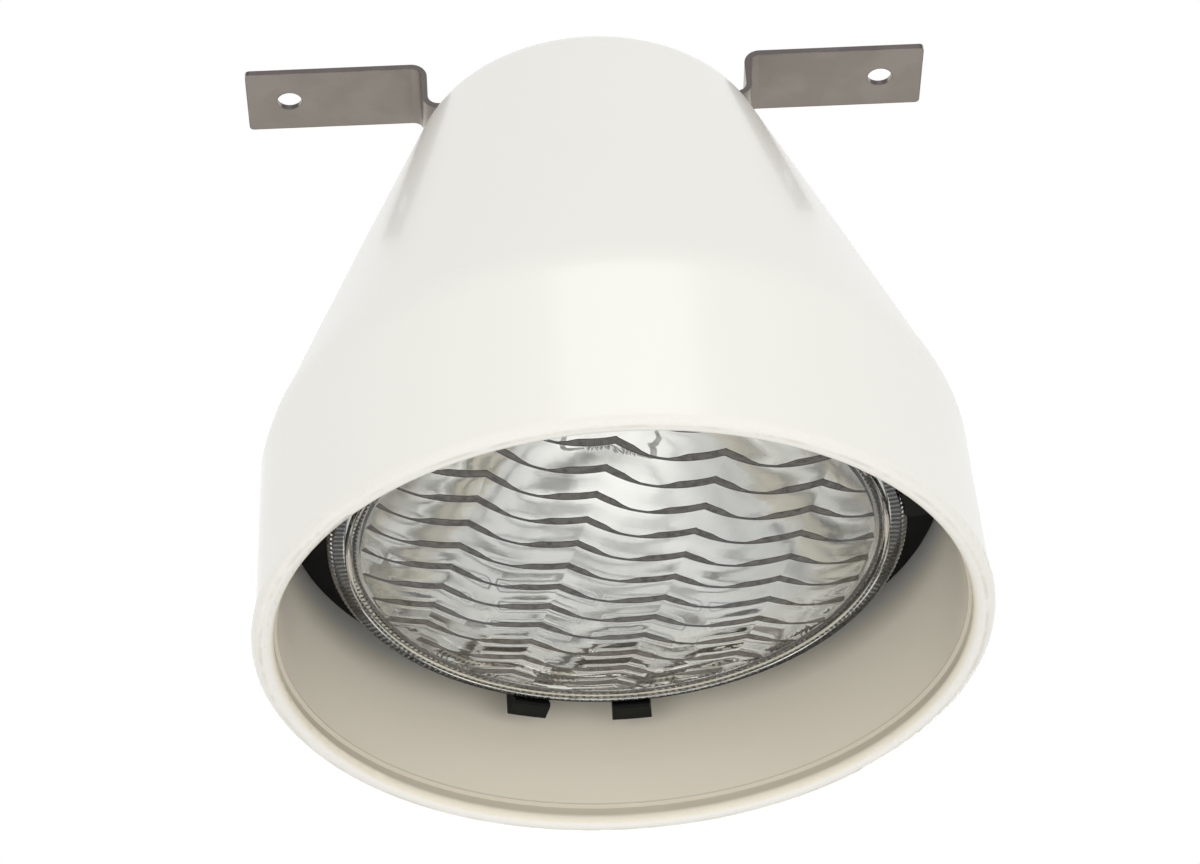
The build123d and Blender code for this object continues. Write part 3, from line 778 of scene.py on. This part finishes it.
def relief_cutter():
    """A block with the inner face's flutes and prisms on its underside, a little wider than the relief."""
    mesh = bmesh.new()
    columns = range(-3, 4)
    rows = range(-8, 9)
    bends = 12
    sides = 96
    grid = []
    for column in columns:
        for bend in range(bends + 1):
            along = -1 + 2 * bend / bends
            u = column_shift + (column + half_column * along) * column_width
            grid.append([mesh.verts.new(point) for point in relief_line(u, along, rows)])
    for left, right in zip(grid, grid[1:]):
        for index in range(len(left) - 1):
            face = mesh.faces.new([left[index], right[index], right[index + 1], left[index + 1]])
            face.material_index = ROW[index % len(ROW)]
    for side in range(sides):
        angle = 2 * math.pi * side / sides
        outward = Vector((math.cos(angle), math.sin(angle), 0.0))
        bmesh.ops.bisect_plane(
            mesh,
            geom=mesh.verts[:] + mesh.edges[:] + mesh.faces[:],
            plane_co=outward * (relief_radius + cutter_overlap) * MM,
            plane_no=outward,
            clear_outer=True,
        )
    raised = bmesh.ops.extrude_face_region(mesh, geom=mesh.faces[:])["geom"]
    for part in raised:
        if isinstance(part, bmesh.types.BMVert):
            part.co.z = (core_top_z + cutter_rise) * MM
    bmesh.ops.recalc_face_normals(mesh, faces=mesh.faces)
    return mesh


def mesh_object(name, mesh, *materials):
    """A scene object from a bmesh, with its materials."""
    data = bpy.data.meshes.new(name)
    mesh.to_mesh(data)
    mesh.free()
    for material in materials:
        data.materials.append(material)
    made = bpy.data.objects.new(name, data)
    scene.collection.objects.link(made)
    return made


lens_glass = finish(
    "lens_glass",
    main=(0.985, 0.99, 0.975),
    patch=(0.975, 0.98, 0.965),
    sizes=(18.0, 4.0),
    rough=(0.0, 0.03),
    depth=0.02,
)
shader_of(lens_glass).inputs["Transmission Weight"].default_value = 1.0
shader_of(lens_glass).inputs["IOR"].default_value = 1.47
# Painted shade: opaque dark and half-dark materials for the prism steps, rib sides and ridge faces, where the
# clear glass only looks dark.
painted_shade_step = finish(
    "painted_shade_step",
    main=(0.032, 0.029, 0.025),
    patch=(0.06, 0.053, 0.046),
    sizes=(2.4, 0.6),
    rough=(0.3, 0.6),
    depth=0.05,
)
painted_half_shade_step = finish(
    "painted_half_shade_step",
    main=(0.125, 0.108, 0.086),
    patch=(0.25, 0.225, 0.19),
    sizes=(2.0, 0.6),
    rough=(0.25, 0.5),
    depth=0.05,
)
lens_slots = (lens_glass, painted_shade_step, painted_half_shade_step)
lens = mesh_object("fluted_lens", turned_lens(), *lens_slots)
cutter = mesh_object("relief_cutter", relief_cutter(), *lens_slots)
cut = lens.modifiers.new("relief", "BOOLEAN")
cut.operation = "DIFFERENCE"
cut.solver = "EXACT"
cut.material_mode = "TRANSFER"
cut.object = cutter
bpy.context.view_layer.update()
lens_mesh = bpy.data.meshes.new_from_object(lens.evaluated_get(bpy.context.evaluated_depsgraph_get()))
lens.modifiers.clear()
lens.data = lens_mesh
bpy.data.objects.remove(cutter)
lens_mesh.polygons.foreach_set("use_smooth", [True] * len(lens_mesh.polygons))
sharp_angle = math.radians(22)
lens_mesh.set_sharp_from_angle(angle=sharp_angle)
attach(lens, "lamp")
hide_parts("lamp_lens")

# Leads
# Two short lengths of stranded wire, red and black, in soft plastic insulation. Each leaves a terminal on
# the lamp, hangs out in a slack bend and goes up into the block.
lead_radius = 1.1
lead_side = 9.0
barrel_z = -62.3
clamp_z = -25.2
lead_route = [
    (-7.6, barrel_z),
    (-19.0, barrel_z),
    (-24.0, barrel_z + 16.5),
    (-16.0, clamp_z - 4.5),
    (2.0, clamp_z),
    (14.7, clamp_z),
]


def lead(name, side, node, material):
    """One lead to one side of the middle, bent between the housing and the lamp."""
    line = bpy.data.curves.new(name, "CURVE")
    line.dimensions = "3D"
    spline = line.splines.new("NURBS")
    spline.points.add(len(lead_route) - 1)
    for point, (y, z) in zip(spline.points, lead_route):
        point.co = (side * MM, y * MM, z * MM, 1.0)
    spline.order_u = 3
    spline.use_endpoint_u = True
    spline.resolution_u = 10
    line.bevel_depth = lead_radius * MM
    line.bevel_resolution = 5
    line.use_fill_caps = True
    drawn = bpy.data.objects.new(name, line)
    scene.collection.objects.link(drawn)
    bpy.context.view_layer.update()
    tube = bpy.data.meshes.new_from_object(drawn.evaluated_get(bpy.context.evaluated_depsgraph_get()))
    bpy.data.objects.remove(drawn)
    tube.polygons.foreach_set("use_smooth", [True] * len(tube.polygons))
    tube.materials.clear()
    tube.materials.append(material)
    wire = bpy.data.objects.new(name, tube)
    scene.collection.objects.link(wire)
    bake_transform(wire)
    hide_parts(node)


red_insulation = finish(
    "red_insulation",
    main=(0.50, 0.035, 0.028),
    patch=(0.42, 0.025, 0.02),
    sizes=(6.0, 0.5),
    rough=(0.32, 0.45),
    depth=0.02,
)
black_insulation = finish(
    "black_insulation",
    main=(0.022, 0.022, 0.022),
    patch=(0.03, 0.03, 0.03),
    sizes=(6.0, 0.5),
    rough=(0.34, 0.48),
    depth=0.02,
)
lead("red_lead", lead_side, "lead_positive", red_insulation)
lead("black_lead", -lead_side, "lead_negative", black_insulation)
